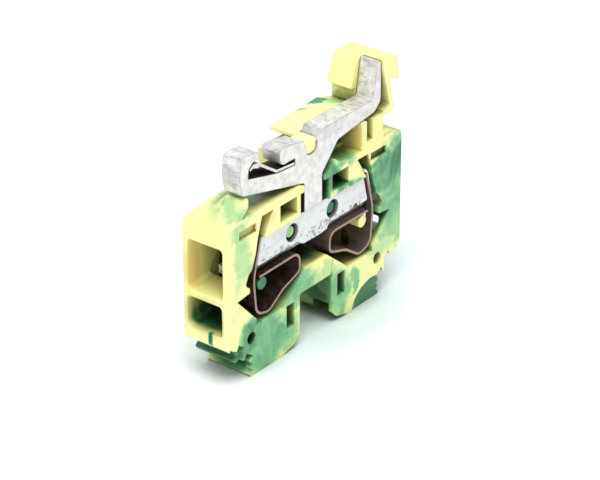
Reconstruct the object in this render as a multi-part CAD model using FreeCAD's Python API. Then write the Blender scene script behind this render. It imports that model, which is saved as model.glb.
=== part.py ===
import FreeCAD, Part
import os
from math import atan2, cos, hypot, pi, sin, tan

# Protective-earth terminal block for a 35 mm top-hat rail, with two cage-clamp springs.
# X runs along the block, across the rail.  Y runs through its thickness, from the open
# near side at -Y to the closed far side at +Y.  Z is up: the block stands on its marking
# side at z = 0, with the rail foot on top.  All sizes are in millimetres.

# Driving dimensions
LENGTH = 52.4            # end face to end face
WIDTH = 10.0             # pitch of one block on the rail
RAIL_SEAT = 41.5         # height of the face that the rail flange rests on
RAIL_WIDTH = 35.0        # top-hat rail, over its flanges
FLANGE = 1.0             # thickness of the rail flange
NEAR = -WIDTH / 2        # open side
FAR = WIDTH / 2          # closed side
WALL = 0.9               # closed side wall
END = LENGTH / 2
DECK = 32.9              # top of the far half, left of the foot
RIB_TOP = 33.0           # top of the rib along the open side
CAVITY_BACK = FAR - WALL

# Rail foot: a stamping on edge
FOOT_NEAR = -4.6
FOOT_FAR = -0.6
STEM_X = -0.4            # centre of the stem
STEM_HALF = 2.6
HOOK_GAP = 0.1           # room for the flange under the hook
PRONG_IN = RAIL_WIDTH / 2 + 0.1
BOSS_GAP = 0.1           # between the foot's notch and the boss that fills it

# Current bar
BAR_TOP = 26.7
BAR_LOW = 21.3
BAR_SHEET = 1.7
BAR_NEAR = -4.35
TONGUE = 20.0            # half length over the tongues in the spring windows
HOLE_X = 6.0             # from the middle of the pair
HOLE_SHIFT = -0.3        # middle of the pair
HOLE_Z = 23.9
HOLE_R = 1.8
PEG_R = 1.1

# Clamp springs
STRIP = 0.5
SPRING_NEAR = -4.7
SPRING_FAR = 3.3
WINDOW = (-3.3, 1.9)     # window in the spring leg, across Y
STOP_PEG = (15.0, 17.3)
STOP_PEG_R = 1.22
PEG_HOLE = (19.0, 8.0)   # hole for the peg of an end plate
PEG_HOLE_R = 1.2

LEAF = 0.5               # rail contact leaf thickness
SPLIT = 0.15             # half the gap where a flexing strip or neck is divided
LATCH_GAP = 0.25         # between the post and the latch neck

os.makedirs("parts", exist_ok=True)


def mirror(points):
    """The same outline on the other side of x = 0."""
    return [(-p[0],) + tuple(p[1:]) for p in reversed(points)]


def unit(a, b):
    size = hypot(b[0] - a[0], b[1] - a[1])
    return ((b[0] - a[0]) / size, (b[1] - a[1]) / size)


def rounded_wire(points, place):
    """A closed outline through the points, with a tangent arc where a point has a radius."""
    count = len(points)
    spans = []
    for i, p in enumerate(points):
        radius = p[2] if len(p) > 2 else 0.0
        if radius <= 0:
            spans.append(((p[0], p[1]),))
            continue
        before = unit(p, points[i - 1])
        after = unit(p, points[(i + 1) % count])
        half = atan2(abs(before[0] * after[1] - before[1] * after[0]),
                     before[0] * after[0] + before[1] * after[1]) / 2
        reach = radius / tan(half)
        start = (p[0] + before[0] * reach, p[1] + before[1] * reach)
        end = (p[0] + after[0] * reach, p[1] + after[1] * reach)
        middle = ((before[0] + after[0]), (before[1] + after[1]))
        size = hypot(middle[0], middle[1])
        out = radius / sin(half) - radius
        top = (p[0] + middle[0] / size * out, p[1] + middle[1] / size * out)
        spans.append((start, top, end))
    edges = []
    for i, span in enumerate(spans):
        if len(span) == 3:
            edges.append(Part.Arc(place(span[0]), place(span[1]), place(span[2])).toShape())
        a = place(span[-1])
        b = place(spans[(i + 1) % count][0])
        if a.distanceToPoint(b) > 1e-6:
            edges.append(Part.LineSegment(a, b).toShape())
    return Part.Wire(edges)


def plate(points, near, far):
    """An outline in X and Z, extruded along Y."""
    wire = rounded_wire(points, lambda p: FreeCAD.Vector(p[0], near, p[1]))
    return Part.Face(wire).extrude(FreeCAD.Vector(0, far - near, 0))


def taper(near_points, near, far_points, far):
    """A solid that changes evenly from one outline in X and Z to another, along Y."""
    ends = ((near_points, near), (far_points, far))
    wires = [Part.makePolygon([FreeCAD.Vector(x, y, z) for x, z in points + points[:1]])
             for points, y in ends]
    return Part.makeLoft(wires, True, True)


def box(x0, x1, y0, y1, z0, z1):
    return Part.makeBox(x1 - x0, y1 - y0, z1 - z0, FreeCAD.Vector(x0, y0, z0))


def peg(x, z, radius, near, far):
    return Part.makeCylinder(radius, far - near, FreeCAD.Vector(x, near, z), FreeCAD.Vector(0, 1, 0))


def funnel(side, outer, inner, x_outer, x_inner):
    """A tapering entry along X between two rounded rectangles (y0, y1, z0, z1)."""
    wires = []
    for (y0, y1, z0, z1), x in ((outer, x_outer), (inner, x_inner)):
        corners = [(y0, z0, 0.8), (y1, z0, 0.8), (y1, z1, 0.8), (y0, z1, 0.8)]
        wires.append(rounded_wire(corners, lambda p: FreeCAD.Vector(side * x, p[0], p[1])))
    return Part.makeLoft(wires, True, True)


def strip(points, thickness, near, far):
    """A bent strip: the line through the points is its middle, bends have a radius."""
    half = thickness / 2
    sides = []
    for sign in (1, -1):
        line = []
        for i, p in enumerate(points):
            first = unit(points[max(i - 1, 0)], points[max(i, 1)])
            second = unit(points[min(i, len(points) - 2)], points[min(i + 1, len(points) - 1)])
            normal = (-first[1] - second[1], first[0] + second[0])
            size = hypot(normal[0], normal[1])
            mitre = 2 * half / size
            turn = first[0] * second[1] - first[1] * second[0]
            radius = p[2] if len(p) > 2 else 0.0
            if radius:
                radius += half if turn * sign < 0 else -half
            x = p[0] + sign * normal[0] / size * mitre
            z = p[1] + sign * normal[1] / size * mitre
            line.append((x, z, radius))
        sides.append(line)
    return plate(sides[0] + sides[1][::-1], near, far)


def fuse(shapes):
    return shapes[0].multiFuse(shapes[1:]).removeSplitter()


def cut(body, tools):
    return body.cut(tools).removeSplitter()


# Notch in the rail foot, and the boss of the housing that fills it
NOTCH_LEFT = -2.6
NOTCH_RIGHT = 0.75
NOTCH_LOW = 37.7
NOTCH = [(NOTCH_LEFT, 39.6), (NOTCH_LEFT, NOTCH_LOW, 1.3), (NOTCH_RIGHT, NOTCH_LOW, 1.3), (NOTCH_RIGHT, 39.8)]
NOTCH_BOSS = [(NOTCH_LEFT + BOSS_GAP, 40.1), (NOTCH_LEFT + BOSS_GAP, NOTCH_LOW + BOSS_GAP, 1.2),
              (NOTCH_RIGHT - BOSS_GAP, NOTCH_LOW + BOSS_GAP, 1.2), (NOTCH_RIGHT - BOSS_GAP, 40.35)]


# Housing ------------------------------------------------------------------------------

# Marker grooves: a stepped slope at each lower corner, from the end face to the leg.
CORNER = [(END, 8.8), (25.2, 7.7), (24.9, 8.4), (24.4, 7.7), (23.2, 7.1), (22.6, 8.1), (21.1, 7.0),
          (21.8, 6.0), (22.3, 5.2), (22.9, 4.7), (22.5, 4.0), (20.9, 4.5), (20.4, 5.4), (18.6, 4.2),
          (19.6, 3.6), (19.4, 3.0), (18.7, 2.5), (19.4, 1.8), (18.8, 1.3), (19.6, 0.5), (19.3, 0)]
LEG = CORNER + [(10.0, 0), (6.3, 1.0, 1.2), (4.9, 2.5, 0.3), (4.9, 10.8, 0.3)]
FOOTPRINT = LEG + mirror(LEG)

RIGHT_TOP = [(20.5, 34.7), (25.9, 32.4, 0.5), (END, 31.0)]
POST_TOP = [(17.0, 38.0), (20.0, 38.0)]

# Shoulder under the hook, in the near half; it falls to the deck behind the foot.
SHOULDER = [(-END, 29.0), (-25.8, 31.4), (-24.0, 32.7), (-22.1, 33.7), (-20.9, 35.4), (-20.3, 36.1),
            (-19.6, 36.3)]
SHOULDER_END = [(-END, 29.0), (-25.7, 30.9), (-24.0, 32.1), (-22.1, 32.4), (-20.9, 32.5), (-20.3, 32.5),
                (-19.6, 32.6)]


def housing_far_half():
    """Everything behind the rail foot, with a lip over the step beside the notch."""
    top = [(-END, 32.1, 3.0), (-15.0, DECK), (-4.2, DECK), (-4.2, 37.4), (3.0, 37.4), (3.0, 39.6), (-0.7, 39.6),
           (-0.7, 40.35, 0.3), (13.6, 41.0, 0.6), (17.4, 39.65, 0.2), (19.8, 39.55), (19.8, 38.0),
           (20.0, 38.0)]
    return plate(top + RIGHT_TOP + FOOTPRINT, FOOT_FAR, FAR)


def housing_near_half():
    """The lower body, the rib, the shoulder under the hook and the posts."""
    shoulder = [SHOULDER[0], (-25.8, 31.4, 1.0), (-22.1, 33.7, 1.0), (-20.3, 36.1, 0.6), (-19.5, 36.3),
                (-19.5, 34.7, 0.5), (-21.2, RIB_TOP)]
    stem = [(-4.9, RIB_TOP), (STEM_X - 3.1, 32.5), (STEM_X - 3.1, 31.0), (STEM_X + 2.85, 31.0),
            (STEM_X + 2.85, 31.9), (6.0, 34.1, 0.3), (6.3, 33.5), (9.3, RIB_TOP - 0.3)]
    posts = [(13.7, RIB_TOP - 0.3), (13.7, 38.2, 0.3), (15.2, 38.3, 0.3), (15.2, 34.0), (17.0, 34.0)]
    outline = shoulder + stem + posts + POST_TOP + RIGHT_TOP + FOOTPRINT
    return plate(outline, NEAR, FOOT_FAR)


def shoulder_slope():
    low = [(-19.6, 31.0), (-END, 28.0)]
    return taper(SHOULDER + low, FOOT_FAR - 0.2, SHOULDER_END + low, FOOT_FAR + 3.6)


# Label recess below each shoulder: from x, to x, from z, to z
RECESS = {1: (16.5, 21.3, 29.5, 31.1), -1: (17.3, 22.1, 29.0, 30.75)}

CHAMBER = [(15.1, BAR_TOP + 0.1), (13.55, 29.6, 2.0), (12.4, 31.35), (15.7, 31.35), (16.9, 27.6, 2.0),
           (17.6, 24.5, 2.0), (18.7, 21.8), (19.6, 21.2, 0.4), (20.4, 19.6, 0.5), (20.1, 18.8, 0.3),
           (19.4, 18.5, 0.3), (19.2, 17.4, 0.3), (22.8, 17.0), (17.5, 11.3, 0.5), (17.5, 10.2), (9.7, 10.2),
           (3.1, 15.6, 0.5), (-1.0, 15.6), (-1.0, BAR_TOP + 0.1)]


def housing_cuts(side):
    """Hollows of one half: side is 1 on the right and -1 on the left."""
    def half(points):
        return points if side > 0 else mirror(points)

    def span(a, b, y0, y1, z0, z1, centre=0.0):
        low, high = sorted((centre + side * a, centre + side * b))
        return box(low, high, y0, y1, z0, z1)

    cuts = [plate(half(CHAMBER), NEAR - 1, CAVITY_BACK)]
    # wire entry, then screwdriver entry
    cuts.append(funnel(side, (-4.5, 3.5, 18.7, 28.7), (-3.9, 3.2, 19.4, 27.2), END + 0.01, 17.0))
    cuts.append(funnel(side, (-4.2, 3.8, 10.9, 17.2), (-3.9, 3.0, 12.2, 14.8), END + 0.01, 19.5))
    # pockets in the open side
    cuts.append(span(5.2, 10.1, NEAR - 1, 3.2, 27.9, 31.2, STEM_X))
    x0, x1, z0, z1 = RECESS[side]
    cuts.append(span(x0, x1, NEAR - 1, NEAR + 0.7, z0, z1))
    cuts.append(span(6.5, 8.8, NEAR - 1, 2.0, 5.2, 9.9))
    cuts.append(peg(side * PEG_HOLE[0], PEG_HOLE[1], PEG_HOLE_R, NEAR - 1, NEAR + 3.0))
    # shallow step in the foot of the right leg
    if side > 0:
        step = [(11.1, -1), (11.1, 0.1), (11.9, 2.1, 3.0), (13.8, 3.65, 3.0), (16.6, 4.6, 3.0), (21.0, 4.3),
                (21.0, -1)]
        cuts.append(plate(step, NEAR - 1, NEAR + 0.15))
    # the marker ledge stops short of the open side
    cuts.append(span(21.4, END + 1, NEAR - 1, NEAR + 1.0, 2.8, 6.2))
    # hollow in the underside of the leg
    cuts.append(span(4.0, 9.5, NEAR + 0.8, FOOT_FAR + 0.1, -1, 4.05))
    # drip line under the screwdriver entry
    cuts.append(span(END - 0.3, END + 1, -1.7, -1.2, 8.0, 11.4))
    # bevel along the closed side's end edge
    corner = ((END - 0.5, FAR), (END + 1, FAR), (END + 1, FAR - 1.5))
    bevel = [FreeCAD.Vector(side * x, y, -1) for x, y in corner]
    cuts.append(Part.Face(Part.makePolygon(bevel + bevel[:1])).extrude(FreeCAD.Vector(0, 0, 60)))
    # ejector marks on the closed side
    for x, z in ((21.5, 29.5), (14.0, 13.0), (7.0, 4.0)):
        cuts.append(peg(side * x, z, 1.3, FAR - 0.12, FAR + 1))
    return cuts


def make_housing():
    body = fuse([housing_far_half(), housing_near_half(), shoulder_slope()])
    cuts = housing_cuts(1) + housing_cuts(-1)
    # slot for the stem, down to the bar
    cuts.append(box(STEM_X - 4.2, STEM_X + 4.2, NEAR - 1, FOOT_FAR + 0.3, BAR_TOP, 31.2))
    cuts.append(box(STEM_X - 2.75, STEM_X + 2.75, NEAR - 1, FOOT_FAR, 31.0, 37.0))
    # hollows behind and below the right arm of the foot
    cuts.append(plate([(9.3, 33.4), (13.7, 33.4), (13.7, 38.3), (10.4, 38.3), (9.3, 37.2)], -1.0, 3.5))
    cuts.append(box(15.2, 16.2, -1.0, 1.5, 34.0, 38.5))
    cuts.append(box(20.6, END + 1, NEAR - 1, NEAR + 0.4, 33.0, 36.5))
    body = cut(body, cuts)
    extras = [plate(NOTCH_BOSS, FOOT_NEAR + 0.3, FOOT_FAR + 0.1)]
    for side in (1, -1):
        extras.append(peg(HOLE_SHIFT + side * HOLE_X, HOLE_Z, PEG_R, BAR_NEAR + 0.55, CAVITY_BACK + 0.1))
        extras.append(peg(side * STOP_PEG[0], STOP_PEG[1], STOP_PEG_R, NEAR + 0.7, CAVITY_BACK + 0.1))
    return fuse([body] + extras)


# Rail latch ---------------------------------------------------------------------------

LATCH_LEG = [(25.2, 43.35, 0.3), (22.0, 44.3, 0.3), (23.35, 38.4, 0.5), (22.9, 37.4, 0.5),
             (20.0 + LATCH_GAP, 37.4), (20.0 + LATCH_GAP, 38.4), (22.3, 38.8, 0.4)]


def make_latch():
    """The plastic hook end that snaps over the rail flange, on its flexing neck."""
    nose = [(16.0, RAIL_SEAT + FLANGE + 0.5, 0.2), (18.2, 48.7, 1.2), (24.2, 48.4, 0.6)]
    hook = nose + LATCH_LEG + [(20.6, 44.6), (19.9, 43.6), (19.9, 39.8), (PRONG_IN, 39.8),
                               (PRONG_IN, RAIL_SEAT + FLANGE + 0.2)]
    tab = [(20.0, 48.61), (24.2, 48.4, 0.6)] + LATCH_LEG + [(20.1, 46.5)]
    return fuse([plate(hook, FOOT_FAR + 0.1, FAR), plate(tab, NEAR, FOOT_FAR + 0.1)])


# Rail foot ----------------------------------------------------------------------------

def make_foot():
    """A stamped strip of steel on edge: hook, slot for the leaf, notch, prong and stem."""
    low = RAIL_SEAT + FLANGE + HOOK_GAP
    hook = [(-20.7, 37.1, 0.8), (-21.3, 40.5, 4.0), (-20.9, 44.65, 1.2), (-16.15, 44.05, 0.25),
            (-16.15, low), (-17.6, low, 0.3), (-18.8, 41.6, 0.3), (-19.05, 39.8, 0.2)]
    slot = [(-10.9, 37.75, 2.0), (-5.7, 37.35, 0.2), (-5.7, 38.75, 0.3), (-8.9, 38.7, 0.3),
            (-9.8, 39.1, 0.3)]
    block = [(-10.25, 41.4), (-9.6, 42.15, 0.2), (-3.3, 41.15, 0.5), (-2.9, 40.2, 0.3)]
    arm = [(1.1, 40.1, 0.4), (1.9, RAIL_SEAT, 0.6), (PRONG_IN, RAIL_SEAT, 0.4), (18.95, 49.0, 0.2),
           (19.85, 48.4, 0.5), (19.85, 40.6, 1.2), (18.0, 38.95, 1.5), (6.9, 37.6, 1.0)]
    stem = [(STEM_X + STEM_HALF, 32.6, 0.8), (STEM_X + STEM_HALF, BAR_TOP + 0.1),
            (STEM_X - STEM_HALF, BAR_TOP + 0.1), (STEM_X - STEM_HALF, 32.65, 0.6)]
    body = plate(hook + slot + block + NOTCH + arm + stem, FOOT_NEAR, FOOT_FAR)
    # tenon behind the bar, standing on the bar's flange
    tenon = box(STEM_X - 1.6, STEM_X + 1.6, BAR_NEAR + BAR_SHEET + 0.05, FOOT_FAR, BAR_LOW, BAR_TOP + 0.5)
    return fuse([body, tenon])


# Rail contact leaf --------------------------------------------------------------------

LEAF_ROOT = [(-5.8, 37.7), (-10.6, 38.07), (-11.0, 38.3)]
LEAF_ARM = [(-11.25, 38.47), (-16.1, 41.62, 0.8), (-17.4, 41.75, 0.8), (-18.35, 41.2)]


def make_leaf(points):
    return strip(points, LEAF, FOOT_NEAR + 0.1, FOOT_FAR - 0.1)


# Current bar --------------------------------------------------------------------------

def make_bar():
    """A plate on edge with a flange that carries the wires, joined by a bend in the middle."""
    outline = [(-15.2, BAR_TOP), (15.2, BAR_TOP), (16.5, BAR_LOW, 0.3), (4.6, BAR_LOW, 0.4),
               (4.0, 20.3, 0.4), (0.4, 20.1, 0.8), (-3.2, 20.3, 0.5), (-4.6, BAR_LOW, 0.4),
               (-16.5, BAR_LOW, 0.3)]
    front = plate(outline, BAR_NEAR, BAR_NEAR + BAR_SHEET)
    low = BAR_LOW - BAR_SHEET
    holes = [peg(HOLE_SHIFT + side * HOLE_X, HOLE_Z, HOLE_R, NEAR, 0) for side in (1, -1)]
    holes.append(peg(12.7, BAR_LOW, 0.75, BAR_NEAR - 1, BAR_NEAR + 0.5))
    flange = box(-16.1, 16.1, BAR_NEAR + BAR_SHEET + 0.2, SPRING_FAR - 0.1, low, BAR_LOW)
    tongues = box(-TONGUE, TONGUE, WINDOW[0] + 0.3, WINDOW[1] - 0.3, low, BAR_LOW)
    bend = box(-3.4, 3.2, BAR_NEAR + 0.6, BAR_NEAR + BAR_SHEET + 0.4, low + 0.8, BAR_LOW)
    return fuse([cut(front, holes), flange, tongues, bend])


# Clamp springs ------------------------------------------------------------------------

LOOP = (4.5, 17.2)
SHORT_LEG = [(16.2, 19.2), (4.5, 19.3, 1.85), (LOOP[0], LOOP[1] + SPLIT)]
LONG_LEG = [(LOOP[0], LOOP[1] - SPLIT), (4.5, 15.35, 1.2), (9.5, 13.75, 5.0), (13.6, 11.0, 2.4),
            (17.1, 11.95, 2.2), (17.85, 19.3, 10.0), (15.65, 27.2)]
TOOL_SLOT = (16.0, 11.8)     # middle of the slot for the screwdriver's tip, in the lower bend


def make_spring_root(side):
    points = SHORT_LEG if side > 0 else [(-p[0],) + tuple(p[1:]) for p in SHORT_LEG]
    return strip(points, STRIP, SPRING_NEAR, SPRING_FAR)


def tool_slot(side):
    """A cutter for the slot, square to the slope of the lower bend."""
    slope = FreeCAD.Vector(side * sin(pi / 4), 0, cos(pi / 4))
    start = FreeCAD.Vector(side * (TOOL_SLOT[0] - 1.4), 0, TOOL_SLOT[1] + 1.4)
    corners = [(-1.6, -0.2, 0.6), (1.6, -0.2, 0.6), (1.6, 1.1, 0.6), (-1.6, 1.1, 0.6)]
    wire = rounded_wire(corners, lambda p: start + slope * p[0] + FreeCAD.Vector(0, p[1], 0))
    return Part.Face(wire).extrude(FreeCAD.Vector(side * 2.8, 0, -2.8))


def make_spring_cage(side):
    points = LONG_LEG if side > 0 else [(-p[0],) + tuple(p[1:]) for p in LONG_LEG]
    body = strip(points, STRIP, SPRING_NEAR, SPRING_FAR)
    low, high = sorted((side * 16.0, side * 19.5))
    window = box(low, high, WINDOW[0], WINDOW[1], 14.6, BAR_LOW + 0.12)
    return cut(body, [window, tool_slot(side)])


NODES = {
    "housing": make_housing(),
    "rail_latch": make_latch(),
    "rail_foot": make_foot(),
    "contact_leaf_root": make_leaf(LEAF_ROOT),
    "contact_leaf_arm": make_leaf(LEAF_ARM),
    "current_bar": make_bar(),
    "clamp_spring_left": make_spring_root(-1),
    "clamp_cage_left": make_spring_cage(-1),
    "clamp_spring_right": make_spring_root(1),
    "clamp_cage_right": make_spring_cage(1),
}

for name, shape in NODES.items():
    solids = shape.Solids
    print(name, "solids", len(solids), "valid", shape.isValid(), "volume", round(shape.Volume, 1))
    result = solids[0] if len(solids) == 1 else Part.makeCompound(solids)
    result.exportStep("parts/" + name + ".step")
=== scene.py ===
from math import cos, radians, sin, tan

import bmesh
import bpy
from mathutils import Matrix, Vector


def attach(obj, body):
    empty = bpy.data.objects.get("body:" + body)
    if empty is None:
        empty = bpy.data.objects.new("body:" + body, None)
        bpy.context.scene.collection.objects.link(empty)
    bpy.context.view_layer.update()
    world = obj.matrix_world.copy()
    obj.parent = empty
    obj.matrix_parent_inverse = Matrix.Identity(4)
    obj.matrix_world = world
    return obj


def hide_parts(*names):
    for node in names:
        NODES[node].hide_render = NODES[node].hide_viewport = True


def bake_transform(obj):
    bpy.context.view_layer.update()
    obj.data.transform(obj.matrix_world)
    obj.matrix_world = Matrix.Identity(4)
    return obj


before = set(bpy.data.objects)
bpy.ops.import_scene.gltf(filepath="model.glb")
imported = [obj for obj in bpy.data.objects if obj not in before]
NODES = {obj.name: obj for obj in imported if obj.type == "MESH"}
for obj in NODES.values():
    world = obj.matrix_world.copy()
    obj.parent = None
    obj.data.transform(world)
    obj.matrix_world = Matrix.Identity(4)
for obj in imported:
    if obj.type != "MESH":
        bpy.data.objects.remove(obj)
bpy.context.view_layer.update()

MM = 0.001                   # one millimetre in metres
PATCH_FADE = (1.25, 0.55)    # a colour patch is nothing at 1.25 of its radii, full at 0.55

# Camera: where it stands from the block, and what it aims at
AZIMUTH = radians(-52.11)
ELEVATION = radians(28.33)
DISTANCE = 461.3 * MM
AIM = Vector((1.58, 0.0, 17.6)) * MM
LENS, SENSOR = 150.0, 36.0    # mm


def place_camera():
    back = Vector((sin(AZIMUTH) * cos(ELEVATION), -cos(AZIMUTH) * cos(ELEVATION), sin(ELEVATION)))
    data = bpy.data.cameras.new("camera")
    data.lens = LENS
    data.sensor_width = SENSOR
    data.clip_start = 0.01
    camera = bpy.data.objects.new("camera", data)
    camera.location = AIM + back * DISTANCE
    camera.rotation_euler = (radians(90) - ELEVATION, 0, AZIMUTH)
    bpy.context.scene.collection.objects.link(camera)
    bpy.context.scene.camera = camera


# Node materials ---------------------------------------------------------------------

class Shader:
    """A material whose nodes are added one by one; a value is a number, a colour or a socket."""

    def __init__(self, name):
        self.material = bpy.data.materials.new(name)
        self.material.use_nodes = True
        self.tree = self.material.node_tree
        self.surface = self.tree.nodes["Principled BSDF"]

    def put(self, socket, value):
        if isinstance(value, bpy.types.NodeSocket):
            self.tree.links.new(value, socket)
        elif value is not None:
            socket.default_value = value

    def add(self, kind, values=(), **settings):
        node = self.tree.nodes.new(kind)
        for key, value in settings.items():
            setattr(node, key, value)
        for key, value in dict(values).items():
            self.put(node.inputs[key], value)
        return node

    def math(self, operation, a, b=0.0, clamp=False):
        node = self.add("ShaderNodeMath", {0: a, 1: b}, operation=operation, use_clamp=clamp)
        return node.outputs[0]

    def vector(self, operation, a, b=(0, 0, 0), scale=None):
        values = {0: a, 1: b}
        if scale is not None:
            values = {0: a, "Scale": scale}
        return self.add("ShaderNodeVectorMath", values, operation=operation).outputs[0]

    def position(self):
        return self.add("ShaderNodeTexCoord").outputs["Object"]

    def stretch(self, vector, scale, turn=(0, 0, 0)):
        values = {0: vector, "Scale": scale, "Rotation": turn}
        return self.add("ShaderNodeMapping", values).outputs[0]

    def noise(self, vector, scale, detail=3.0, rough=0.5, distortion=0.0):
        values = {"Vector": vector, "Scale": scale, "Detail": detail, "Roughness": rough,
                  "Distortion": distortion}
        return self.add("ShaderNodeTexNoise", values)

    def span(self, value, low, high, to_low=0.0, to_high=1.0, smooth=True):
        values = {"Value": value, "From Min": low, "From Max": high,
                  "To Min": to_low, "To Max": to_high}
        kind = "SMOOTHSTEP" if smooth else "LINEAR"
        return self.add("ShaderNodeMapRange", values, interpolation_type=kind).outputs[0]

    def mix(self, share, a, b, blend="MIX"):
        node = self.add("ShaderNodeMix", data_type="RGBA", blend_type=blend)
        self.put(node.inputs[0], share)
        self.put(node.inputs[6], a)
        self.put(node.inputs[7], b)
        return node.outputs[2]

    def ramp(self, value, stops):
        node = self.add("ShaderNodeValToRGB", {0: value})
        node.color_ramp.interpolation = "B_SPLINE"
        while len(node.color_ramp.elements) < len(stops):
            node.color_ramp.elements.new(0.5)
        for element, (place, colour) in zip(node.color_ramp.elements, stops):
            element.position = place
            element.color = colour
        return node.outputs[0]

    def round_edges(self, radius):
        """A normal that turns smoothly over edges, as a moulded or tumbled edge does."""
        return self.add("ShaderNodeBevel", {"Radius": radius}, samples=6).outputs[0]

    def openness(self, reach, power=1.0):
        """1 on open faces, towards 0 deep in pockets and slots."""
        node = self.add("ShaderNodeAmbientOcclusion", {"Distance": reach}, samples=8)
        return self.math("POWER", node.outputs["AO"], power)

    def patches(self, place, spots):
        """Soft ellipsoids (centre, radii, strength) in mm, joined into one mask."""
        mask = None
        for centre, radii, share in spots:
            offset = self.vector("SUBTRACT", place, tuple(v * MM for v in centre))
            scaled = self.vector("MULTIPLY", offset, tuple(1 / (v * MM) for v in radii))
            size = self.add("ShaderNodeVectorMath", {0: scaled}, operation="LENGTH")
            spot = self.span(size.outputs["Value"], *PATCH_FADE, 0.0, share)
            mask = spot if mask is None else self.math("MAXIMUM", mask, spot)
        return mask

    def behind(self, place, start, full):
        """0 at the depth start and 1 at the depth full, in mm along Y, whichever is deeper."""
        depth = self.add("ShaderNodeSeparateXYZ", {0: place}).outputs[1]
        return self.span(depth, start * MM, full * MM)

    def edges(self, rounded):
        """1 where the rounded normal leaves the true one, along the edges."""
        true = self.add("ShaderNodeNewGeometry").outputs["True Normal"]
        product = self.add("ShaderNodeVectorMath", {0: rounded, 1: true}, operation="DOT_PRODUCT")
        return self.span(product.outputs["Value"], 0.99, 0.80)

    def bump(self, height, strength, distance, normal=None):
        values = {"Strength": strength, "Distance": distance, "Height": height}
        if normal is not None:
            values["Normal"] = normal
        return self.add("ShaderNodeBump", values).outputs[0]

    def faces_along_y(self):
        """1 on faces square to Y, 0 on the others."""
        normal = self.add("ShaderNodeNewGeometry").outputs["True Normal"]
        parts = self.add("ShaderNodeSeparateXYZ", {0: normal})
        return self.span(self.math("ABSOLUTE", parts.outputs[1]), 0.6, 0.9)

    def finish(self, **values):
        for key, value in values.items():
            self.put(self.surface.inputs[key.replace("_", " ")], value)
        return self.material


def srgb(red, green, blue):
    """A colour given as it looks on screen, 0 to 255, as linear values."""
    parts = []
    for value in (red, green, blue):
        v = value / 255
        parts.append(v / 12.92 if v <= 0.04045 else ((v + 0.055) / 1.055) ** 2.4)
    return (*parts, 1.0)


YELLOW = srgb(240, 235, 153)
PALE_GREEN = srgb(170, 209, 143)
MID_GREEN = srgb(112, 182, 126)
DEEP_GREEN = srgb(40, 112, 72)

# Where the green of the two-colour moulding gathers, and two spots of green painted as shade: centre
# and radii in mm, and how green
GREEN = [
    ((-14.0, -4, 5.0), (8.0, 7, 6.0), 0.63),
    ((-18.5, -5, 8.0), (3.8, 5, 3.0), 0.76),
    ((-9.0, -5, 2.0), (3.0, 4, 3.5), 0.38),
    ((-5.4, -4, 12.2), (5.6, 8, 3.4), 0.60),
    ((1.6, -4, 11.6), (3.6, 5, 1.6), 0.26),
    ((7.6, -3, 6.6), (3.6, 8, 6.5), 0.56),
    ((5.0, 1, 8.0), (1.5, 8, 7.0), 0.95),
    ((11.7, -5, 6.2), (1.2, 4, 3.4), 0.55),
    ((21.0, -4, 25.5), (5.0, 8, 5.0), 0.78),
    ((24.5, -4, 26.0), (4.0, 8, 7.0), 0.88),
    ((22.6, -3, 17.6), (5.5, 8, 6.0), 0.58),
    ((25.0, -3, 14.0), (3.6, 8, 5.0), 0.46),
    ((20.0, -5, 10.8), (4.5, 3, 2.0), 0.26),
    # painted shade: green on the far wall of the wire entry, standing in for its shade
    ((20.6, 3.2, 21.4), (3.4, 2.4, 3.4), 1.10),
    ((4.5, -3, 32.0), (4.4, 6, 3.6), 0.85),
    ((8.6, -2, 33.2), (3.6, 5, 2.4), 0.50),
    ((12.6, 2.8, 36.2), (4.0, 3.2, 3.8), 1.00),
    ((9.5, -3, 27.5), (4.5, 4, 1.6), 0.78),
    ((7.0, 1, 29.5), (4.4, 4, 3.0), 1.00),
    ((10.6, 4.8, 41.0), (4.4, 1.7, 1.6), 1.00),
    ((14.5, 3.0, 40.8), (3.6, 3.6, 1.2), 0.36),
    ((22.0, -1, 34.2), (3.0, 5, 1.0), 0.60),
    ((-20.6, -5.0, 27.0), (3.4, 1.4, 10.5), 0.30),
    ((-21.2, -2.8, 35.0), (2.3, 2.4, 2.1), 0.36),
    ((-22.0, 0.4, 13.0), (4.6, 4.4, 4.0), 0.90),
    ((-6.0, 1, 30.0), (3.2, 3, 2.5), 0.45),
    # painted shadow: green under the arm of the rail foot, standing in for its shadow
    ((-14.0, 0.2, 33.0), (10.0, 4.2, 3.2), 0.46),
    ((1.4, -0.6, 15.9), (4.6, 3.8, 1.6), 0.70),
    ((13.0, -5, 26.2), (1.7, 3, 2.6), 0.62),
    ((0.0, 5, 20.0), (9.0, 2, 9.0), 0.50),
    ((-15.5, 5.2, 7.0), (7.0, 1.6, 6.0), 0.46),
    ((16.0, 5.2, 26.0), (8.0, 1.6, 7.0), 0.60),
    ((15.0, 5.2, 8.0), (6.0, 1.6, 4.5), 0.34),
    ((-17.0, 5.2, 27.0), (5.5, 1.6, 4.0), 0.34),
]

# Small parts that came out green all over
CRISP = [
    ((-22.3, 1.6, 4.8), (2.2, 7.0, 1.7), 1.10),
    ((-20.2, 0.0, 2.4), (3.0, 5.4, 2.6), 1.00),
    ((-26.2, -1.45, 9.8), (1.0, 0.6, 2.4), 0.90),
    ((-15.0, -3, 17.3), (2.0, 9, 2.0), 1.00),
    ((5.7, -3, 23.9), (2.0, 9, 2.0), 1.10),
    ((-6.3, -4, 23.9), (2.0, 9, 2.0), 0.40),
    ((3.4, -4.6, 29.0), (1.3, 3, 3.0), 0.80),
]

# Floor of the shallow step in the foot of the right leg
STEP = [((16.6, -4.85, 1.6), (6.6, 0.6, 4.6), 1.15)]
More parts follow.
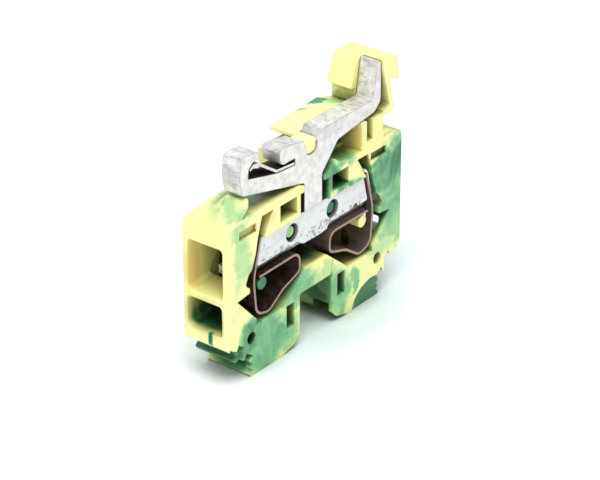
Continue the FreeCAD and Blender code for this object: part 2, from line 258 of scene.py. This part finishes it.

# Painted shade in hollows that little light reaches, and a painted glow on walls where light comes
# through them
PAINTED_SHADE = [
    ((-21.5, -0.5, 22.8), (6.2, 6, 7.5), 0.22),
    ((21.5, -0.5, 23.0), (5.2, 6, 7.0), 0.80),
    ((22.0, -0.5, 14.0), (6.0, 7, 5.0), 0.90),
    ((-22.0, -0.5, 14.0), (6.0, 7, 5.0), 0.86),
    ((2.9, -3, 29.0), (1.5, 4.4, 3.6), 1.00),
    ((-3.8, -3, 29.0), (1.5, 4.4, 3.6), 1.00),
    ((7.2, -1, 29.5), (3.6, 5.0, 2.8), 0.95),
    ((-8.4, -1, 30.2), (3.2, 4.6, 1.8), 0.60),
    ((-13.5, 0.5, 33.4), (6.5, 4.6, 2.6), 0.50),
    ((0.8, -1.5, 15.6), (5.0, 4.6, 2.6), 0.85),
    ((14.0, 1.4, 37.2), (3.0, 4.2, 3.0), 0.95),
    ((14.6, -3, 29.4), (2.6, 4.0, 2.6), 0.60),
    ((19.0, -4.2, 30.3), (4.2, 1.6, 2.0), 1.00),
    ((-19.2, -4.2, 30.3), (4.2, 1.6, 2.0), 0.50),
    ((4.6, 1, 6.0), (1.2, 8, 6.5), 0.90),
    ((7.0, 1, 2.0), (4.0, 6, 3.0), 0.80),
    ((17.5, 0.5, 10.6), (5.4, 5.4, 2.4), 1.00),
    ((-19.0, -3.6, 8.0), (1.9, 2.6, 1.9), 1.00),
    ((19.0, -3.6, 8.0), (1.9, 2.6, 1.9), 0.45),
    ((-7.7, -3, 7.5), (1.7, 4, 3.2), 0.80),
    ((7.7, -3, 7.5), (1.7, 4, 3.2), 0.80),
    ((-22.2, 1.5, 4.8), (1.8, 7, 1.3), 0.55),
    ((-20.4, -0.5, 3.1), (2.6, 5.2, 1.2), 1.00),
]
PAINTED_GLOW = [
    ((-25.0, 3.4, 22.6), (2.2, 1.6, 6.0), 0.50),
    ((13.8, -3.8, 35.5), (1.0, 1.4, 3.2), 0.40),
    ((15.8, -3.4, 36.0), (0.8, 2.6, 3.0), 0.50),
    ((-12.9, -3.8, 30.2), (1.4, 2.4, 1.6), 0.35),
    ((14.8, -4.0, 29.6), (1.6, 3.0, 1.8), 0.35),
]


def plastic_material():
    """Green and yellow moulding: marbled colour, a fine grain and rounded edges."""
    s = Shader("green_yellow_plastic")
    place = s.position()
    swirl = s.noise(s.stretch(place, (1, 0.6, 1), (0, radians(35), 0)), 150, 3.0, 0.55, 0.6)
    shift = s.vector("SUBTRACT", swirl.outputs["Color"], (0.5, 0.5, 0.5))
    warped = s.vector("ADD", place, s.vector("SCALE", shift, scale=0.010))
    step = s.math("MULTIPLY", s.patches(place, STEP), s.behind(place, -4.97, -4.89))
    crisp = s.math("MAXIMUM", s.patches(place, CRISP), step)
    mask = s.math("MAXIMUM", s.patches(warped, GREEN), crisp)
    streak = s.noise(s.stretch(place, (1.0, 0.6, 0.62), (0, radians(-40), 0)), 300, 4.0, 0.55, 1.0)
    depth = s.math("MULTIPLY", s.math("SUBTRACT", streak.outputs["Fac"], 0.5), mask)
    green = s.math("ADD", mask, s.math("MULTIPLY", depth, 1.15), clamp=True)
    colour = s.ramp(green, [(0.04, YELLOW), (0.30, PALE_GREEN),
                            (0.58, MID_GREEN), (0.92, DEEP_GREEN)])
    cloud = s.span(s.noise(place, 90, 2.0).outputs["Fac"], 0.35, 0.7, 0.0, 0.25)
    cloud = s.math("MULTIPLY", cloud, s.span(green, 0.45, 0.0, 0.06, 1.0))
    colour = s.mix(cloud, colour, srgb(255, 251, 208))
    # Painted shade: in pockets and hollows the colour is dimmed, and darker still deeper in.
    opened = s.openness(0.008, 1.0)
    dim = s.mix(1.0, colour, srgb(208, 208, 168), "MULTIPLY")
    deep = s.mix(1.0, colour, srgb(66, 78, 50), "MULTIPLY")
    shaded = s.mix(s.span(opened, 0.05, 0.42, smooth=False), deep, dim)
    # Painted glow, warmer in colour, on the listed walls where light comes through them.
    glow = s.mix(1.0, colour, srgb(236, 190, 140), "MULTIPLY")
    colour = s.mix(s.span(opened, 0.30, 0.66, smooth=False), shaded, colour)
    open_side = s.behind(place, 4.95, 4.4)      # 0 on the closed back, which has no hollows
    colour = s.mix(s.math("MULTIPLY", s.patches(place, PAINTED_GLOW), open_side), colour, glow)
    # Painted shade in the listed hollows: the colour is darkened there.
    hollow_shade = s.math("MULTIPLY", s.patches(place, PAINTED_SHADE), s.behind(place, -4.9, -4.3))
    hollow_shade = s.math("MULTIPLY", hollow_shade, open_side)
    colour = s.mix(hollow_shade, colour, s.mix(1.0, colour, srgb(128, 124, 96), "MULTIPLY"))
    grain = s.noise(place, 2600, 3.0, 0.6).outputs["Fac"]
    rough = s.span(s.noise(place, 420, 3.0).outputs["Fac"], 0.3, 0.7, 0.34, 0.50)
    normal = s.bump(grain, 0.25, 0.00006, s.round_edges(0.00025))
    return s.finish(Base_Color=colour, Roughness=rough, Normal=normal, IOR=1.5,
                    Subsurface_Weight=0.06, Subsurface_Radius=(0.0012, 0.0011, 0.0006),
                    Subsurface_Scale=1.0)


# Painted shade in the slots of the rail foot, where little light reaches
SLOT_SHADE = [
    ((-15.4, -2.6, 39.3), (5.4, 6, 2.1), 1.0),
    ((-7.8, -2.6, 38.0), (2.8, 4, 0.9), 1.0),
    ((-3.0, -2.6, 29.0), (0.6, 4, 4.0), 1.0),
]

# A greyer patch over the back of the hook
HOOK_BACK_GREY = [((-21.9, -2.6, 40.4), (0.9, 4, 5.0), 0.55)]


def plated_material():
    """Plated steel stamping: mottled plating, fine scratches, drawn lines on the sheared edges."""
    s = Shader("plated_steel")
    place = s.position()
    flat = s.faces_along_y()
    mottle = s.noise(place, 700, 4.0, 0.65).outputs["Fac"]
    broad = s.noise(place, 160, 2.0).outputs["Fac"]
    scratch = s.noise(s.stretch(place, (0.25, 1, 3.0), (0, radians(12), 0)), 1500, 3.0, 0.7)
    drawn = s.noise(s.stretch(place, (3.0, 0.12, 3.0)), 1400, 3.0, 0.6)
    colour = s.ramp(s.math("ADD", s.math("MULTIPLY", mottle, 0.7), s.math("MULTIPLY", broad, 0.35)),
                    [(0.22, srgb(172, 169, 168)), (0.50, srgb(222, 218, 213)),
                     (0.72, srgb(247, 243, 237))])
    ragged = s.noise(s.stretch(place, (1, 0.4, 1)), 1250, 3.0, 0.7).outputs["Fac"]
    torn = s.span(ragged, 0.50, 0.62, 0.0, 0.60)
    sheared = s.math("SUBTRACT", 1.0, flat)
    colour = s.mix(s.math("MULTIPLY", torn, sheared), colour, srgb(160, 164, 176))
    # Painted shade: deep in slots and pockets the colour turns dark brown.
    opened = s.openness(0.0035, 1.0)
    colour = s.mix(s.span(opened, 0.12, 0.75, smooth=False), srgb(72, 54, 46), colour)
    # Painted shade: sheared faces in the slots turn dark brown.
    dark = s.math("MULTIPLY", s.patches(place, SLOT_SHADE), sheared)
    colour = s.mix(dark, colour, srgb(50, 28, 18))
    colour = s.mix(s.patches(place, HOOK_BACK_GREY), colour, srgb(150, 154, 156))
    rounded = s.round_edges(0.00025)
    colour = s.mix(s.math("MULTIPLY", s.edges(rounded), 0.60), colour, srgb(110, 104, 108))
    lines = s.add("ShaderNodeMix", data_type="FLOAT")
    s.put(lines.inputs[0], flat)
    s.put(lines.inputs[2], drawn.outputs["Fac"])
    s.put(lines.inputs[3], scratch.outputs["Fac"])
    relief = lines.outputs[0]
    rough = s.math("MAXIMUM", s.span(relief, 0.3, 0.75, 0.46, 0.27),
                   s.math("MULTIPLY", dark, 0.9))
    normal = s.bump(relief, 0.35, 0.00008, rounded)
    normal = s.bump(broad, 0.25, 0.0006, normal)
    return s.finish(Base_Color=colour, Metallic=0.42, Roughness=rough, Normal=normal)


PITS_START, PITS_FULL = 23.2, 21.4       # mm up, where the bar's pits start and are thickest


def tinned_material():
    """Tinned copper: matt, almost white, with rubbed marks, and more pits lower down."""
    s = Shader("tinned_copper")
    place = s.position()
    mottle = s.noise(place, 520, 5.0, 0.7).outputs["Fac"]
    height = s.add("ShaderNodeSeparateXYZ", {0: place}).outputs[2]
    low = s.span(height, PITS_START * MM, PITS_FULL * MM, 0.0, 0.155)
    pits = s.span(s.math("ADD", s.noise(place, 1500, 2.0).outputs["Fac"], low), 0.66, 0.76)
    rub = s.noise(s.stretch(place, (0.3, 1, 1.4), (0, radians(-25), 0)), 420, 3.0, 0.6)
    rub = s.math("MULTIPLY", rub.outputs["Fac"], 0.45)
    colour = s.ramp(s.math("ADD", s.math("MULTIPLY", mottle, 0.6), rub),
                    [(0.28, srgb(190, 186, 184)), (0.48, srgb(224, 222, 221)),
                     (0.8, srgb(243, 242, 241))])
    colour = s.mix(s.math("MULTIPLY", pits, 0.65), colour, srgb(120, 108, 104))
    # Painted shade: deep in holes and hollows the colour turns near black.
    opened = s.openness(0.003, 1.0)
    colour = s.mix(s.span(opened, 0.30, 0.80, smooth=False), srgb(36, 30, 24), colour)
    rough = s.span(mottle, 0.3, 0.7, 0.42, 0.56)
    normal = s.bump(s.math("SUBTRACT", mottle, pits), 0.35, 0.0001, s.round_edges(0.00022))
    return s.finish(Base_Color=colour, Metallic=0.5, Roughness=rough, Normal=normal)


def spring_material(name, face_dark, face_light, edge):
    """Rolled spring strip: dark oxide on the faces, paler to the right, a bright sheared edge."""
    s = Shader(name)
    place = s.position()
    sheared = s.faces_along_y()
    mottle = s.noise(place, 650, 4.0, 0.6).outputs["Fac"]
    rolled = s.noise(s.stretch(place, (1, 0.1, 1)), 900, 3.0, 0.6).outputs["Fac"]
    body = s.mix(s.span(mottle, 0.35, 0.7), face_dark, face_light)
    rim = s.mix(s.span(mottle, 0.3, 0.75), edge, tuple(min(1.0, v * 1.25) for v in edge))
    # Painted shade: in hollows the colour turns dark brown, less dark on the right-hand spring.
    opened = s.openness(0.006, 1.2)
    across = s.add("ShaderNodeSeparateXYZ", {0: place}).outputs[0]
    right = s.span(across, -0.012, 0.010)
    strip_shade = s.mix(right, srgb(34, 17, 9), srgb(134, 112, 106))
    body = s.mix(s.math("MULTIPLY", right, 0.7), body, srgb(160, 136, 128))
    body = s.mix(s.span(opened, 0.02, 0.45, smooth=False), strip_shade, body)
    colour = s.mix(sheared, body, rim)
    rough = s.span(rolled, 0.3, 0.7, 0.30, 0.46)
    normal = s.bump(rolled, 0.2, 0.00005, s.round_edges(0.00012))
    return s.finish(Base_Color=colour, Metallic=0.75, Roughness=rough, Normal=normal)


def floor_material():
    """Pale matt paper, with painted shadow in front of the block, wide and cool and darker near it, and
    painted contact shade under it.
    """
    s = Shader("paper_floor")
    place = s.position()
    fibre = s.noise(place, 900, 3.0).outputs["Fac"]
    colour = s.mix(s.span(fibre, 0.3, 0.7), srgb(247, 249, 251), srgb(251, 252, 253))
    # Painted shadow: a wide cool tint in front of the block.
    cool_shadow = s.patches(place, [((14.0, -12.0, 0.0), (34.0, 22.0, 50.0), 1.0)])
    colour = s.mix(cool_shadow, colour, srgb(239, 247, 250))
    # Painted shadow: darker, close to the near side of the block.
    shade = s.patches(place, [((10.0, -7.0, 0.0), (17.0, 7.0, 50.0), 0.55)])
    colour = s.mix(shade, colour, srgb(206, 217, 216))
    across = s.add("ShaderNodeSeparateXYZ", {0: place}).outputs[0]
    # Painted contact shade where the block hides the floor, fading out to the left.
    contact = s.span(s.openness(0.008, 1.0), 0.80, 0.12)
    hidden = s.math("MULTIPLY", contact, s.span(across, -0.026, -0.012, 0.1, 1.0))
    colour = s.mix(hidden, colour, srgb(112, 116, 96))
    return s.finish(Base_Color=colour, Roughness=0.9, Normal=s.bump(fibre, 0.05, 0.0001))


# Strips that flex -------------------------------------------------------------------

# Lengths in mm.  A path is a list of X, Z and, at a bend, the radius of the bend
STRIP = 0.5                  # thickness of the clamp springs and of the contact leaf
SPRING_Y = (-4.7, 3.3)
SPRING_STEP = 0.22
SPRING_PATH = [(16.2, 19.2), (4.5, 19.3, 1.85), (4.5, 15.35, 1.2), (9.5, 13.75, 5.0),
               (13.6, 11.0, 2.4), (17.1, 11.95, 2.2), (17.85, 19.3, 10.0), (15.65, 27.2)]
SEAM = 14.4                  # height at which the leg of a clamp spring becomes rigid
WINDOW_Y = (-3.3, 1.9)
WINDOW_Z = (14.6, 21.42)
SLOT_MIDDLE = (15.9, 11.8, 0.4)          # X, Z and Y
SLOT_HALF_LENGTH = 1.75
SLOT_HALF_WIDTH = 0.95
SLOT_LEAST_HALF = 0.2        # at its round ends
SLOT_SLANT = 0.71            # mm along Y for each mm along the diagonal of X and Z
SLOT_BELOW_Z = 14.0          # higher up, the strip crosses the same diagonal again
LEAF_Y = (-4.5, -0.7)
LEAF_STEP = 0.25
LEAF_PATH = [(-5.8, 37.7), (-10.9, 38.15, 0.9), (-16.1, 41.62, 0.8), (-17.4, 41.75, 0.8),
             (-18.35, 41.2)]
NECK_Y = (-4.96, 4.96)
NECK_X = (19.8, 20.7)
NECK_Z = 37.75
NECK_THICKNESS = 0.7
NECK_PARTS = 9
ARC_PARTS = 12               # straight parts of each bend of a path, before it is evened out


def trace(points, step):
    """Evenly spaced points along the lines through the points, with an arc at each bend."""
    line = [Vector(points[0][:2])]
    for i in range(1, len(points) - 1):
        here = Vector(points[i][:2])
        before = (Vector(points[i - 1][:2]) - here).normalized()
        after = (Vector(points[i + 1][:2]) - here).normalized()
        half = before.angle(after) / 2
        reach = points[i][2] / tan(half)
        centre = here + (before + after).normalized() * (points[i][2] / sin(half))
        start = here + before * reach - centre
        end = here + after * reach - centre
        for k in range(ARC_PARTS + 1):
            turned = start.slerp(end, k / ARC_PARTS, start)
            line.append(centre + turned.normalized() * points[i][2])
    line.append(Vector(points[-1][:2]))
    lengths = [0.0]
    for a, b in zip(line, line[1:]):
        lengths.append(lengths[-1] + (b - a).length)
    count = int(lengths[-1] / step)
    path = []
    at = 0
    for k in range(count + 1):
        want = lengths[-1] * k / count
        while at < len(line) - 2 and lengths[at + 1] < want:
            at += 1
        share = (want - lengths[at]) / (lengths[at + 1] - lengths[at])
        path.append(line[at].lerp(line[at + 1], share))
    return path


def strip_mesh(name, path, thickness, side, span, inner):
    """A bent strip along the path, in X and Z, with a hole in it.

    span gives its two edges along Y, and side is -1 for its mirror image.  inner(point) gives
    the two sides of the hole along Y, and whether the strip is open between them there.
    """
    mesh = bmesh.new()
    rows = []
    for i, p in enumerate(path):
        along = (path[min(i + 1, len(path) - 1)] - path[max(i - 1, 0)]).normalized()
        across = Vector((-along.y, along.x)) * thickness / 2
        low, high, _ = inner(p)
        row = []
        for y in (span[0], low, high, span[1]):
            faces = (p + across, p - across)
            row.append([mesh.verts.new(Vector((side * q.x, y, q.y)) * MM) for q in faces])
        rows.append(row)
    opens = [inner((a + b) / 2)[2] for a, b in zip(path, path[1:])]
    for i, (a, b) in enumerate(zip(rows, rows[1:])):
        for j in range(3):
            if j == 1 and opens[i]:
                mesh.faces.new((a[1][0], b[1][0], b[1][1], a[1][1]))
                mesh.faces.new((a[2][0], a[2][1], b[2][1], b[2][0]))
                continue
            mesh.faces.new((a[j][0], a[j + 1][0], b[j + 1][0], b[j][0]))
            mesh.faces.new((a[j][1], b[j][1], b[j + 1][1], a[j + 1][1]))
        mesh.faces.new((a[0][0], b[0][0], b[0][1], a[0][1]))
        mesh.faces.new((a[3][0], a[3][1], b[3][1], b[3][0]))
        if opens[i] != (i > 0 and opens[i - 1]):
            mesh.faces.new((a[1][0], a[1][1], a[2][1], a[2][0]))
    for row in (rows[0], rows[-1]):
        for j in range(3):
            mesh.faces.new((row[j][0], row[j][1], row[j + 1][1], row[j + 1][0]))
    bmesh.ops.recalc_face_normals(mesh, faces=mesh.faces)
    data = bpy.data.meshes.new(name)
    mesh.to_mesh(data)
    mesh.free()
    return data


def new_piece(name, mesh, material, slot, *nodes):
    piece = bpy.data.objects.new(name, mesh)
    bpy.context.scene.collection.objects.link(piece)
    piece.data.materials.append(material)
    if nodes:
        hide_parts(*nodes)
    return piece


def slot_sides(p):
    """The screwdriver slot across the lower bend, with round ends."""
    x, z, y = SLOT_MIDDLE
    along = (p.x - x + p.y - z) / 2 ** 0.5
    past = (along / SLOT_HALF_LENGTH) ** 4
    if past >= 1 or p.y > SLOT_BELOW_Z:
        return y - SLOT_LEAST_HALF, y + SLOT_LEAST_HALF, False
    middle = y + SLOT_SLANT * along
    half = max(SLOT_HALF_WIDTH * (1 - past) ** 0.5, SLOT_LEAST_HALF)
    return middle - half, middle + half, True


def window_sides(p):
    """The window in the leg of a clamp spring."""
    return *WINDOW_Y, WINDOW_Z[0] < p.y < WINDOW_Z[1]


def solid_sides(p):
    """No hole; the two inner lines of points still need a place along Y."""
    return -3.0, -2.0, False


def make_springs(material):
    """Each clamp spring: a bend, and a leg that turns with the cage."""
    path = trace(SPRING_PATH, SPRING_STEP)
    last = max(i for i, p in enumerate(path) if p.y < SEAM)
    for side, name in ((1, "right"), (-1, "left")):
        mesh = strip_mesh("spring_" + name, path[:last + 1], STRIP, side, SPRING_Y, slot_sides)
        bend = new_piece("spring_bend_" + name, mesh, material, "spring_steel", "clamp_spring_" + name)
        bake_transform(bend)
        mesh = strip_mesh("leg_" + name, path[last:], STRIP, side, SPRING_Y, window_sides)
        leg = new_piece("spring_leg_" + name, mesh, material, "spring_steel", "clamp_cage_" + name)
        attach(leg, name + "_cage")


def make_leaf(material):
    """The spring contact that presses on the rail."""
    mesh = strip_mesh("leaf", trace(LEAF_PATH, LEAF_STEP), STRIP, 1, LEAF_Y, solid_sides)
    leaf = new_piece("rail_leaf", mesh, material, "leaf_steel", "contact_leaf_root", "contact_leaf_arm")
    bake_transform(leaf)


def make_neck(material):
    """The plastic neck between the post and the latch."""
    ends = [Vector((x, NECK_Z)) for x in NECK_X]
    path = [ends[0].lerp(ends[1], k / NECK_PARTS) for k in range(NECK_PARTS + 1)]
    mesh = strip_mesh("neck", path, NECK_THICKNESS, 1, NECK_Y, solid_sides)
    neck = new_piece("latch_neck", mesh, material, "green_yellow_plastic")
    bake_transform(neck)


# Floor, light and materials -----------------------------------------------------------

FLOOR_SIDE = 6.0             # metres


def area_light(name, place, size, watts, colour=(1, 1, 1)):
    """A round soft light that faces the block; place and size are in metres."""
    data = bpy.data.lights.new(name, "AREA")
    data.shape = "DISK"
    data.size = size
    data.energy = watts
    data.color = colour
    light = bpy.data.objects.new(name, data)
    light.location = place
    light.rotation_euler = (AIM - Vector(place)).to_track_quat("-Z", "Y").to_euler()
    bpy.context.scene.collection.objects.link(light)


def set_stage():
    mesh = bpy.data.meshes.new("floor")
    half = FLOOR_SIDE / 2
    corners = [(-half, -half, 0), (half, -half, 0), (half, half, 0), (-half, half, 0)]
    mesh.from_pydata(corners, [], [(0, 1, 2, 3)])
    floor = bpy.data.objects.new("floor", mesh)
    bpy.context.scene.collection.objects.link(floor)
    floor.data.materials.append(floor_material())
    world = bpy.data.worlds.new("studio")
    world.use_nodes = True
    background = world.node_tree.nodes["Background"]
    background.inputs["Color"].default_value = (0.86, 0.95, 1.0, 1.0)
    background.inputs["Strength"].default_value = 0.56
    bpy.context.scene.world = world
    area_light("key", (-0.20, -0.16, 0.76), 0.50, 4.6, (1.0, 0.985, 0.955))
    area_light("fill", (-0.60, -0.50, 0.30), 0.60, 2.1)
    area_light("back", (0.42, 0.34, 0.40), 0.40, 0.4)


def dress():
    plastic = plastic_material()
    plated = plated_material()
    spring = spring_material("spring_steel", srgb(64, 46, 38), srgb(104, 82, 70),
                             srgb(156, 130, 116))
    leaf = spring_material("leaf_steel", srgb(70, 52, 42), srgb(120, 100, 88),
                           srgb(218, 210, 204))
    wear = {"housing": plastic, "rail_latch": plastic, "rail_foot": plated,
            "current_bar": tinned_material(), "contact_leaf_root": leaf, "contact_leaf_arm": leaf}
    for name, node in NODES.items():
        node.data.materials.clear()
        node.data.materials.append(wear.get(name, spring))
    make_springs(spring)
    make_leaf(leaf)
    make_neck(plastic)


place_camera()
set_stage()
dress()
bpy.context.scene.view_settings.view_transform = "Standard"
